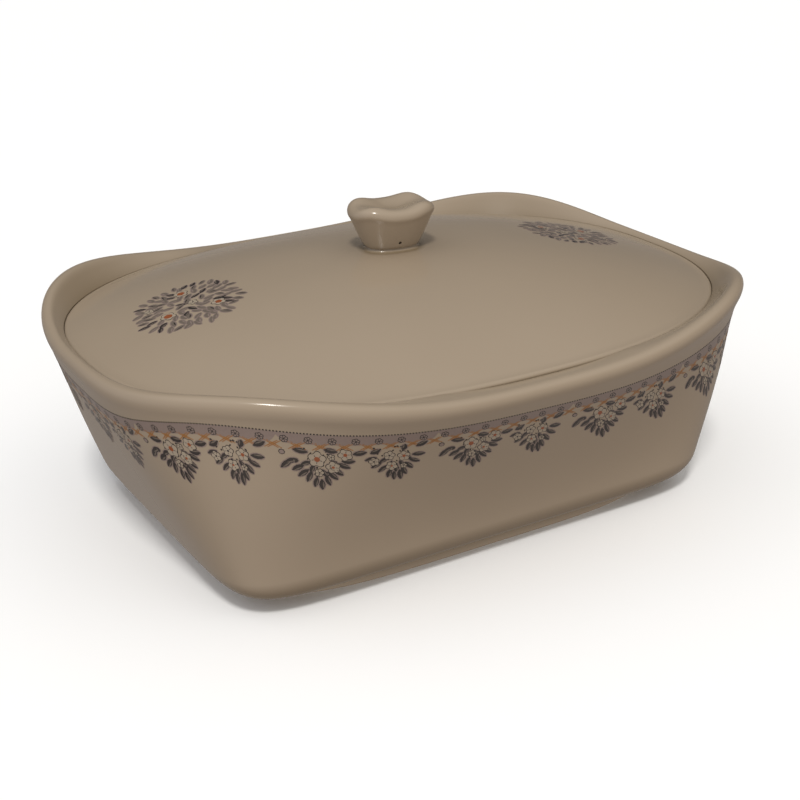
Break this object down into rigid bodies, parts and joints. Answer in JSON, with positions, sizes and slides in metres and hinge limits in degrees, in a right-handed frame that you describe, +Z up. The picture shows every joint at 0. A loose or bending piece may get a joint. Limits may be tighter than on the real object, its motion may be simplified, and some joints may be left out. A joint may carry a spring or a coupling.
{
  "type": "lidded serving dish",
  "caption": "Deep rectangular glazed ceramic dish with flared sides and a waved rounded rim, with a domed lid that rests on an inner ledge and has a hollow knob.",
  "frame": {"origin": "middle of the foot ring's resting face, on the surface that the dish stands on", "axes": "+X along the dish's length, +Y across its width, away from the side with the knob's vent, +Z up"},
  "size_m": [0.301, 0.2304, 0.1354],
  "materials": {
    "dish_glaze": "glossy glaze",
    "lid_glaze": "glossy glaze"
  },
  "bodies": {
    "root": {"dish": "dish_glaze", "lid": "lid_glaze"}
  },
  "joints": []
}
